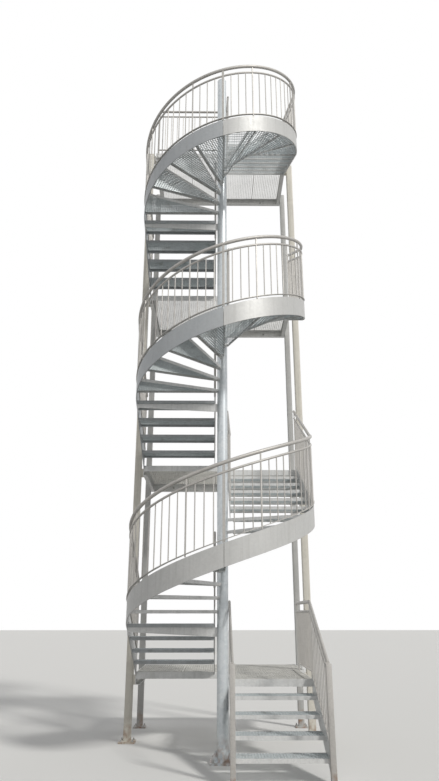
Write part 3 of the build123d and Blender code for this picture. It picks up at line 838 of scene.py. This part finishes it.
def add_arc_plate(bm, inner, outer, low, top, start, end, steps, place):
    """A curved flat bar round the column's axis, between two angles in radians."""
    section = [(inner, low), (outer, low), (outer, top), (inner, top)]
    ring = section_ring(bm, section, place @ Matrix.Rotation(start, 4, "Z"))
    bmesh.ops.edgeloop_fill(bm, edges=spin_ring(bm, ring, end - start, steps))


# A winder's hub plate round the column: its reach and foot in metres, its ends in radians
HUB_REACH = 0.085
HUB_FOOT = 0.012
HUB_START = 0.03
HUB_PAST = 0.16
HUB_STEPS = 4
HUB_OVERLAP = 0.02
BAR_OVERLAP = 0.004

# Its rim plate along the string, the end of its nosing plate there, and its shortest bars
RIM_START = 0.004
RIM_SHORT = 0.0015
RIM_STEPS = 10
NOSING_AWAY = 0.01
NOSING_SHORT = 0.001
SHORTEST_BAR = 0.02
SHORTEST_ROD = 0.01


def circle_at(radius, away):
    """How far out a circle stands, along a line that passes its centre at a distance."""
    return sqrt(radius ** 2 - away ** 2)


def add_winder(parts, place, top):
    """One wedge tread, whose nosing runs out from the axis along place's x axis."""
    s = sizes()
    plates, grating = parts["plates"], parts["grating"]
    low = top - s.tread_depth
    wedge = radians(WINDER_TURN)
    inner, outer = s.column_radius + FIT, s.string_inner - FIT
    hub, rim = s.column_radius + HUB_REACH, outer - PLATE
    rear = Vector((cos(wedge), sin(wedge)))
    lap = Vector((-sin(wedge), cos(wedge))) * s.lap
    add_beam(plates, (inner, 0), (circle_at(outer, NOSING_AWAY) - NOSING_SHORT, 0), PLATE, low,
             top, place)
    add_beam(plates, (hub, PLATE), (circle_at(rim, NOSING), PLATE), NOSING - PLATE,
             top - NOSING_SHEET, top, place)
    add_beam(plates, rear * circle_at(rim, s.lap) + lap, rear * (hub - HUB_OVERLAP) + lap, PLATE,
             low, top, place)
    add_arc_plate(plates, rim, outer, low, top, RIM_START, wedge + s.lap / outer - RIM_SHORT,
                  RIM_STEPS, place)
    add_arc_plate(plates, inner, hub, low + HUB_FOOT, top, HUB_START, wedge + HUB_PAST,
                  HUB_STEPS, place)
    # Bearing bars run alongside the nosing, from the hub plate or the rear bar out to the rim
    for v in between(0.0, rim * sin(wedge) + s.lap, s.grating_pitch):
        near = max(hub - BAR_OVERLAP, (v * cos(wedge) - s.lap + PLATE) / sin(wedge))
        far = circle_at(rim, v)
        if v > NOSING and far - near > SHORTEST_BAR:
            add_beam(grating, (near, v - BAR_HALF), (far, v - BAR_HALF), 2 * BAR_HALF,
                     top - s.bar_depth, top - BAR_SUNK, place)
    # Cross bars run square to it, from the nosing back to the rear bar or the rim
    for u in between(hub, rim, s.cross_pitch):
        far = min((u * sin(wedge) + s.lap) / cos(wedge) - PLATE, circle_at(rim, u))
        if far - NOSING > SHORTEST_ROD:
            add_beam(grating, (u + ROD_HALF, NOSING), (u + ROD_HALF, far), 2 * ROD_HALF,
                     top - ROD_DEPTH, top - ROD_SUNK, place)


def build_winders(storey):
    """The wedge treads of a storey: gratings in a frame, with a nosing and a hub plate."""
    s = sizes()
    parts = {part: bmesh.new() for part in ("plates", "grating")}
    for n in range(WINDERS):
        top = s.level(storey) + (FIRST_WINDER + n) * s.rise
        add_winder(parts, turn_by(LEFT_TURN + n * WINDER_TURN), top)
    name = f"winders_{storey}"
    finish_piece(f"{name}_plates", parts["plates"], "plate_zinc", [name])
    finish_piece(f"{name}_grating", parts["grating"], "grating_zinc")


# Landings

WEB = 0.008
PANEL_GAP = 0.0006
REAR_BOLT_X = 0.8
REAR_BOLT_DROP = 0.095
REAR_BOLT_RADIUS = 0.0125
BRACKET_BOLT_DROP = 0.1
BRACKET_BOLT_APART = 0.04
BRACKET_BOLT_RADIUS = 0.009


def add_frame(bm, left, right, front, rear, low, top):
    """Four flat bars on edge round a panel of grating, butted at the corners."""
    add_block(bm, (left, front, low), (right, front + PLATE, top))
    add_block(bm, (left, rear - PLATE, low), (right, rear, top))
    add_block(bm, (left, front + PLATE, low), (left + PLATE, rear - PLATE, top))
    add_block(bm, (right - PLATE, front + PLATE, low), (right, rear - PLATE, top))


def deck_panels(number, low, high):
    """The panels of a landing's deck, as left, right, front and rear."""
    s = sizes()
    left_front, right_front = s.left_front + WEB, s.right_front + WEB
    if number == 1:
        split = s.ground_inner - s.inner_thickness + WEB
        right = [(split, s.ground_outer - WEB, s.first_front + WEB, right_front),
                 (split, high.x, right_front, high.y)]
    else:
        split = s.inner_x - s.inner_thickness - WEB
        middle = (split + high.x) / 2
        right = [(split, middle, right_front, high.y), (middle, high.x, right_front, high.y)]
    middle = (low.x + split) / 2
    return [(low.x, middle, left_front, high.y), (middle, split, left_front, high.y), *right]


def build_deck(number):
    """A landing's gratings: framed panels side by side, with bearing bars from front to rear."""
    node = f"landing_{number}_deck"
    low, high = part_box(node)
    bm = bmesh.new()
    for left, right, front, rear in deck_panels(number, low, high):
        left, right, rear = left + PANEL_GAP, right - PANEL_GAP, rear - PANEL_GAP
        add_frame(bm, left, right, front, rear, low.z, high.z)
        add_flat_grating(bm, (left + PLATE, right - PLATE), (front + PLATE, rear - PLATE),
                         high.z, along_y=True)
    finish_piece(f"{node}_grating", bm, "deck_zinc", [node])


def build_landing_bolts(number):
    """Bolts through the rear channel, and through the side channels into the posts' brackets."""
    s = sizes()
    level = s.level(number)
    bm = bmesh.new()
    for x in (-REAR_BOLT_X, REAR_BOLT_X):
        add_bolt(bm, (x, s.landing_rear - WEB, level - REAR_BOLT_DROP), (0, -1, 0),
                 REAR_BOLT_RADIUS)
    for side, sign in SIDES.items():
        middle = s.front(side) + POST_BEHIND_FRONT
        for y in (middle - BRACKET_BOLT_APART / 2, middle + BRACKET_BOLT_APART / 2):
            add_bolt(bm, (sign * (s.string_radius - WEB), y, level - BRACKET_BOLT_DROP),
                     (-sign, 0, 0), BRACKET_BOLT_RADIUS)
    finish_piece(f"landing_{number}_bolts", bm, "bolt_zinc")


# Railings. On the curve the upright at the joint is a post, then the fourth from it, and then
# every eighth.

UPRIGHTS_PER_POST = 8
TUBE_SIDES = 16
SMALL_TUBE_SIDES = 12
LOWER_RAIL_WIDTH = 0.03
LOWER_RAIL_THICKNESS = 0.009
LOWER_RAIL_EASE = 0.0012
POST_EASE = 0.002
POST_ABOVE_STRING = 0.001
INNER_RAIL_START = 0.0253
INNER_POST_HALF = 0.01
INNER_POST_EASE = 0.0015
INNER_POST_FOOT = 0.006
NEWEL_EASE = 0.004
GROUND_POST_FOOT = 0.0005

# The ground rails slope and then run level, so their cut is stretched about half as much as that
# of a sloping rail. The top guard's handrail is a little thinner than the others.
GROUND_STRETCH = 1.06
TOP_GUARD_RAIL_SHARE = 0.92


def lower_rail_section(centre):
    """The upright cut of the thin lower rail."""
    half, height = LOWER_RAIL_WIDTH / 2, sizes().lower_rail
    return eased_rectangle(centre - half, centre + half, height - LOWER_RAIL_THICKNESS / 2,
                           height + LOWER_RAIL_THICKNESS / 2, LOWER_RAIL_EASE)


def add_square_post(bm, x, y, low, top, half, ease=POST_EASE):
    """An upright square bar."""
    add_rounded_block(bm, (x - half, y - half, low), (x + half, y + half, top), ease, segments=1)


def add_baluster(bm, place, handrail):
    """A round bar between the lower and the upper rail."""
    s = sizes()
    add_rod(bm, (0, 0, s.lower_rail), (0, 0, handrail - s.upper_drop), s.baluster / 2, place=place)


def add_outer_upright(bm, place, is_post):
    """A post from the string's top edge up to the handrail, or a baluster."""
    s = sizes()
    if is_post:
        half = s.rail_post / 2
        foot = s.string_above + POST_ABOVE_STRING + half * s.slope
        add_rounded_block(bm, (-half, -half, foot), (half, half, s.handrail), POST_EASE, place,
                          segments=1)
    else:
        add_baluster(bm, place, s.handrail)


def add_outer_uprights(bm, side, storey):
    """Posts and balusters along the quarter turn and the flight beside it."""
    s = sizes()
    sign, line, lift = SIDES[side], s.string_line, s.level(storey)
    front = FRONT_TURN + sign * degrees((s.rail_post / 2 + FIT) / line)
    flight = FRONT_TURN + sign * QUARTER_TURN
    turns = evenly(front, flight, degrees(s.baluster_pitch / line))[:-1]
    for n, turn in enumerate(turns):
        place = Matrix.Translation((0, 0, lift + s.winder_nosing(turn))) @ turn_by(turn)
        is_post = n == 0 or n % UPRIGHTS_PER_POST == UPRIGHTS_PER_POST / 2
        add_outer_upright(bm, place @ Matrix.Translation((line, 0, 0)), is_post)
    along = evenly(0, s.front(side) - s.rail_post / 2, s.baluster_pitch)
    for y in along:
        place = Matrix.Translation((sign * line, y, lift + s.flight_nosing(side, y)))
        add_outer_upright(bm, place, y in (along[0], along[-1]))


def build_outer_railing(side, storey):
    """The outer railing of half a storey."""
    s = sizes()
    line, stretch = s.string_line, s.tube_stretch
    upper = s.handrail - s.upper_drop
    bm = bmesh.new()
    for section in (
            tube_section(s.rail_radius, line, s.handrail, TUBE_SIDES, stretch),
            tube_section(s.upper_radius, line, upper, SMALL_TUBE_SIDES, stretch),
            lower_rail_section(line)):
        outer_sweep(bm, section, side, storey)
    add_outer_uprights(bm, side, storey)
    finish_piece(f"outer_rails_{side}_{storey}", bm, "rail_zinc",
                 [f"outer_railing_{side}_{storey}"])


def build_inner_railing(side, storey):
    """The inner handrail of a flight and its posts."""
    s = sizes()
    sign, lift = SIDES[side], s.level(storey)
    x = sign * (s.inner_x - s.inner_thickness / 2)
    start, end = INNER_RAIL_START, s.front(side)
    run = end - start
    bm = bmesh.new()
    place = Matrix.Translation((x, start, lift + s.flight_nosing(side, start) + s.handrail))
    section = tube_section(s.inner_rail_radius, 0, 0, TUBE_SIDES, s.tube_stretch)
    straight_sweep(bm, section, place, (0, run, sign * run * s.slope))
    for y in (start + INNER_POST_HALF, (start + end) / 2, end - INNER_POST_HALF):
        z = lift + s.flight_nosing(side, y)
        add_square_post(bm, x, y, z + s.string_above + INNER_POST_FOOT, z + s.handrail,
                        INNER_POST_HALF, INNER_POST_EASE)
    finish_piece(f"inner_rail_{side}_{storey}", bm, "rail_zinc",
                 [f"inner_railing_{side}_{storey}"])


def add_ground_rails(bm, x, end, radius, lower_rails):
    """Rails that climb beside the ground flight and run level along the first landing."""
    s = sizes()
    start = s.ground_start
    sections = [tube_section(radius, 0, s.ground_handrail, TUBE_SIDES, GROUND_STRETCH)]
    if lower_rails:
        sections += [
            tube_section(s.upper_radius, 0, s.ground_handrail - s.upper_drop, SMALL_TUBE_SIDES,
                         GROUND_STRETCH),
            lower_rail_section(0)]
    place = Matrix.Translation((x, start, s.ground_nosing(start)))
    run = s.first_front - start
    for section in sections:
        straight_sweep(bm, section, place, (0, run, run * s.slope), (0, end - s.first_front, 0))


def build_ground_railing(side):
    """The inner or outer railing from a newel up the ground flight and along the first landing."""
    s = sizes()
    outer = side == "outer"
    if outer:
        x, newel, end = s.ground_outer - s.string_thickness / 2, s.outer_newel / 2, s.right_front
        radius = s.rail_radius
    else:
        x, newel, end = s.ground_inner - s.inner_thickness / 2, s.inner_newel / 2, s.left_front
        radius = s.inner_rail_radius
    start = s.ground_start
    bm = bmesh.new()
    add_ground_rails(bm, x, end, radius, lower_rails=outer)
    add_rounded_block(bm, (x - newel, start - 2 * newel, 0),
                      (x + newel, start, s.first_rise + s.ground_handrail), NEWEL_EASE, segments=3)
    half = s.rail_post / 2
    posts = [s.first_front + half, end - half]
    for y in posts:
        add_square_post(bm, x, y, GROUND_LIFT + GROUND_POST_FOOT, GROUND_LIFT + s.ground_handrail,
                        half)
    if outer:
        for near, far in zip([start] + posts, posts):
            for y in between(near, far, s.baluster_pitch):
                place = Matrix.Translation((x, y, s.ground_nosing(y)))
                add_baluster(bm, place, s.ground_handrail)
    name = f"ground_railing_{side}"
    finish_piece(f"{name}_rails", bm, "rail_zinc", [name])


def build_top_guard():
    """The guard across the top landing's left front."""
    s = sizes()
    low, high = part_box("top_guard")
    y, level = (low.y + high.y) / 2, s.level(LANDINGS[-1])
    start = Matrix.Translation((low.x, y, level)) @ turn_by(QUARTER_TURN)
    bm = bmesh.new()
    for section in (
            tube_section(s.rail_radius * TOP_GUARD_RAIL_SHARE, 0, s.handrail, TUBE_SIDES),
            tube_section(s.upper_radius, 0, s.handrail - s.upper_drop, SMALL_TUBE_SIDES),
            lower_rail_section(0)):
        straight_sweep(bm, section, start, (high.x - low.x, 0, 0))
    half = s.rail_post / 2
    ends = low.x + half, high.x - half
    for x in ends:
        add_square_post(bm, x, y, level, level + s.handrail, half)
    for x in between(*ends, s.baluster_pitch):
        add_baluster(bm, Matrix.Translation((x, y, level)), s.handrail)
    finish_piece("top_guard_rails", bm, "rail_zinc", ["top_guard"])


# Stage

SEEN_FLOOR = (0.82, 0.82, 0.81, 1.0)
LIT_FLOOR = (0.33, 0.325, 0.315, 1.0)
FLOOR_REACH = 60
FLOOR_ROUGHNESS = 0.9
WHITE = (1.0, 1.0, 1.0, 1.0)
SURROUND_STRENGTH = 0.37
SUN_STRENGTH = 2.0
SUN_SOFTNESS = radians(8)
SUN_COLOUR = (1.0, 0.98, 0.94)
SUN_WAY = (-0.57, 0.59, -0.6)

# The camera's place and angles, fitted to the measured lines of the stair
CAMERA_PLACE = (-0.112, -8.391, 1.638)
CAMERA_TILT = radians(90 + 19.115)
CAMERA_TURN = radians(-0.498)
SENSOR = 36.0
FOCAL_PIXELS = 641.4
PICTURE_HEIGHT = 781


def seen_directly(tree):
    """1 where the camera sees it, straight or through a mirror or glass, and 0 elsewhere."""
    path = tree.nodes.new("ShaderNodeLightPath").outputs
    straight = calculate(tree, "MAXIMUM", path["Is Camera Ray"], path["Is Glossy Ray"])
    return calculate(tree, "MAXIMUM", straight, path["Is Transmission Ray"])


def build_floor():
    """A wide pale floor, which sends less light back up than it shows."""
    bm = bmesh.new()
    bmesh.ops.create_grid(bm, x_segments=1, y_segments=1, size=FLOOR_REACH)
    mesh = bpy.data.meshes.new("floor")
    bm.to_mesh(mesh)
    bm.free()
    pale = bpy.data.materials.new("floor_pale")
    pale.use_nodes = True
    tree = pale.node_tree
    shader = tree.nodes["Principled BSDF"].inputs
    feed(tree, shader["Base Color"], mix_colour(tree, seen_directly(tree), LIT_FLOOR, SEEN_FLOOR))
    feed(tree, shader["Roughness"], FLOOR_ROUGHNESS)
    mesh.materials.append(pale)
    floor = bpy.data.objects.new("floor", mesh)
    bpy.context.scene.collection.objects.link(floor)


def build_lights():
    """A soft sun from the front right, and a plain surrounding that shows as white."""
    scene = bpy.context.scene
    scene.world = bpy.data.worlds.new("studio")
    scene.world.use_nodes = True
    tree = scene.world.node_tree
    strength = add_node(tree, "ShaderNodeMix", {
        0: seen_directly(tree), 2: SURROUND_STRENGTH, 3: 1.0}, data_type="FLOAT").outputs[0]
    surround = tree.nodes["Background"].inputs
    feed(tree, surround["Color"], WHITE)
    feed(tree, surround["Strength"], strength)
    lamp = bpy.data.lights.new("key", "SUN")
    lamp.energy = SUN_STRENGTH
    lamp.angle = SUN_SOFTNESS
    lamp.color = SUN_COLOUR
    key = bpy.data.objects.new("key", lamp)
    key.rotation_euler = Vector(SUN_WAY).to_track_quat("-Z", "Y").to_euler()
    scene.collection.objects.link(key)
    scene.view_settings.view_transform = "Standard"


def build_camera():
    """The camera at the photograph's place and angle."""
    scene = bpy.context.scene
    lens = bpy.data.cameras.new("camera")
    lens.sensor_width = SENSOR
    lens.lens = FOCAL_PIXELS / PICTURE_HEIGHT * SENSOR
    camera = bpy.data.objects.new("camera", lens)
    camera.location = CAMERA_PLACE
    camera.rotation_euler = (CAMERA_TILT, 0, CAMERA_TURN)
    scene.collection.objects.link(camera)
    scene.camera = camera


# Operators


class StairStep:
    """What the stair's operators share"""

    bl_options = {"REGISTER", "UNDO"}


class STAIR_OT_column(StairStep, bpy.types.Operator):
    """Make the column, its top disc and its anchor bolts"""

    bl_idname = "stair.column"
    bl_label = "Column"

    def execute(self, context):
        build_column()
        return {"FINISHED"}


class STAIR_OT_posts(StairStep, bpy.types.Operator):
    """Make the four square posts of the landings"""

    bl_idname = "stair.posts"
    bl_label = "Posts"

    def execute(self, context):
        for side in SIDES:
            build_post(side, FRONT_POST)
            build_post(side, REAR_POST)
        return {"FINISHED"}


class STAIR_OT_strings(StairStep, bpy.types.Operator):
    """Make the curved outer strings with their bolted joints"""

    bl_idname = "stair.strings"
    bl_label = "Outer strings"

    def execute(self, context):
        for storey in STOREYS:
            for side in SIDES:
                build_outer_string(side, storey)
        return {"FINISHED"}


class STAIR_OT_treads(StairStep, bpy.types.Operator):
    """Make the straight grating treads of every flight"""

    bl_idname = "stair.treads"
    bl_label = "Straight treads"

    def execute(self, context):
        for storey in STOREYS:
            build_flight_treads(storey)
        build_ground_treads()
        return {"FINISHED"}


class STAIR_OT_winders(StairStep, bpy.types.Operator):
    """Make the wedge-shaped grating treads round the column"""

    bl_idname = "stair.winders"
    bl_label = "Winders"

    def execute(self, context):
        for storey in STOREYS:
            build_winders(storey)
        return {"FINISHED"}


class STAIR_OT_decks(StairStep, bpy.types.Operator):
    """Make the landings' gratings"""

    bl_idname = "stair.decks"
    bl_label = "Landing gratings"

    def execute(self, context):
        for number in LANDINGS:
            build_deck(number)
        return {"FINISHED"}


class STAIR_OT_landing_bolts(StairStep, bpy.types.Operator):
    """Make the bolts in the landings' rear channels and in the posts' brackets"""

    bl_idname = "stair.landing_bolts"
    bl_label = "Landing bolts"

    def execute(self, context):
        for number in LANDINGS:
            build_landing_bolts(number)
        return {"FINISHED"}


class STAIR_OT_railings(StairStep, bpy.types.Operator):
    """Make the outer and inner railings, the ground railings and the top guard"""

    bl_idname = "stair.railings"
    bl_label = "Railings"

    def execute(self, context):
        for storey in STOREYS:
            for side in SIDES:
                build_outer_railing(side, storey)
                build_inner_railing(side, storey)
        for side in ("outer", "inner"):
            build_ground_railing(side)
        build_top_guard()
        return {"FINISHED"}


class STAIR_OT_finishes(StairStep, bpy.types.Operator):
    """Give the frame's own steel its zinc finish"""

    bl_idname = "stair.finishes"
    bl_label = "Finishes of the steel"

    def execute(self, context):
        for name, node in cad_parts.items():
            finish = "column_zinc" if name == "column_base" else "plate_zinc"
            node.data.materials.clear()
            node.data.materials.append(material(finish))
        return {"FINISHED"}


class STAIR_OT_stage(StairStep, bpy.types.Operator):
    """Make the pale floor, the soft lights and the camera"""

    bl_idname = "stair.stage"
    bl_label = "Stage"

    def execute(self, context):
        build_floor()
        build_lights()
        build_camera()
        return {"FINISHED"}


STEPS = (
    STAIR_OT_column, STAIR_OT_posts, STAIR_OT_strings, STAIR_OT_treads, STAIR_OT_winders,
    STAIR_OT_decks, STAIR_OT_landing_bolts, STAIR_OT_railings, STAIR_OT_finishes, STAIR_OT_stage,
)


class STAIR_PT_panel(bpy.types.Panel):
    """The stair's steps, sizes and colours in the sidebar"""

    bl_idname = "STAIR_PT_panel"
    bl_label = "Fire Escape Stair"
    bl_space_type = "VIEW_3D"
    bl_region_type = "UI"
    bl_category = "Fire Escape"

    def draw(self, context):
        for step in STEPS:
            self.layout.operator(step.bl_idname)
        scene = context.scene
        for label, values in (("Sizes", scene.stair_sizes), ("Colours", scene.stair_colours)):
            box = self.layout.box()
            box.label(text=label)
            for key in values.__annotations__:
                box.prop(values, key)


CLASSES = (StairSizes, StairColours, *STEPS, STAIR_PT_panel)


def register():
    for item in CLASSES:
        bpy.utils.register_class(item)
    bpy.types.Scene.stair_sizes = bpy.props.PointerProperty(type=StairSizes)
    bpy.types.Scene.stair_colours = bpy.props.PointerProperty(type=StairColours)


def unregister():
    del bpy.types.Scene.stair_colours
    del bpy.types.Scene.stair_sizes
    for item in reversed(CLASSES):
        bpy.utils.unregister_class(item)


def clear_new_file():
    """Removes the objects that a new file starts with."""
    for name in ("Cube", "Light", "Camera"):
        if name in bpy.data.objects:
            bpy.data.objects.remove(bpy.data.objects[name])


def main():
    """Builds the whole stair and its stage."""
    clear_new_file()
    register()
    for step in STEPS:
        getattr(bpy.ops.stair, step.bl_idname.removeprefix("stair."))()


if __name__ == "__main__":
    main()
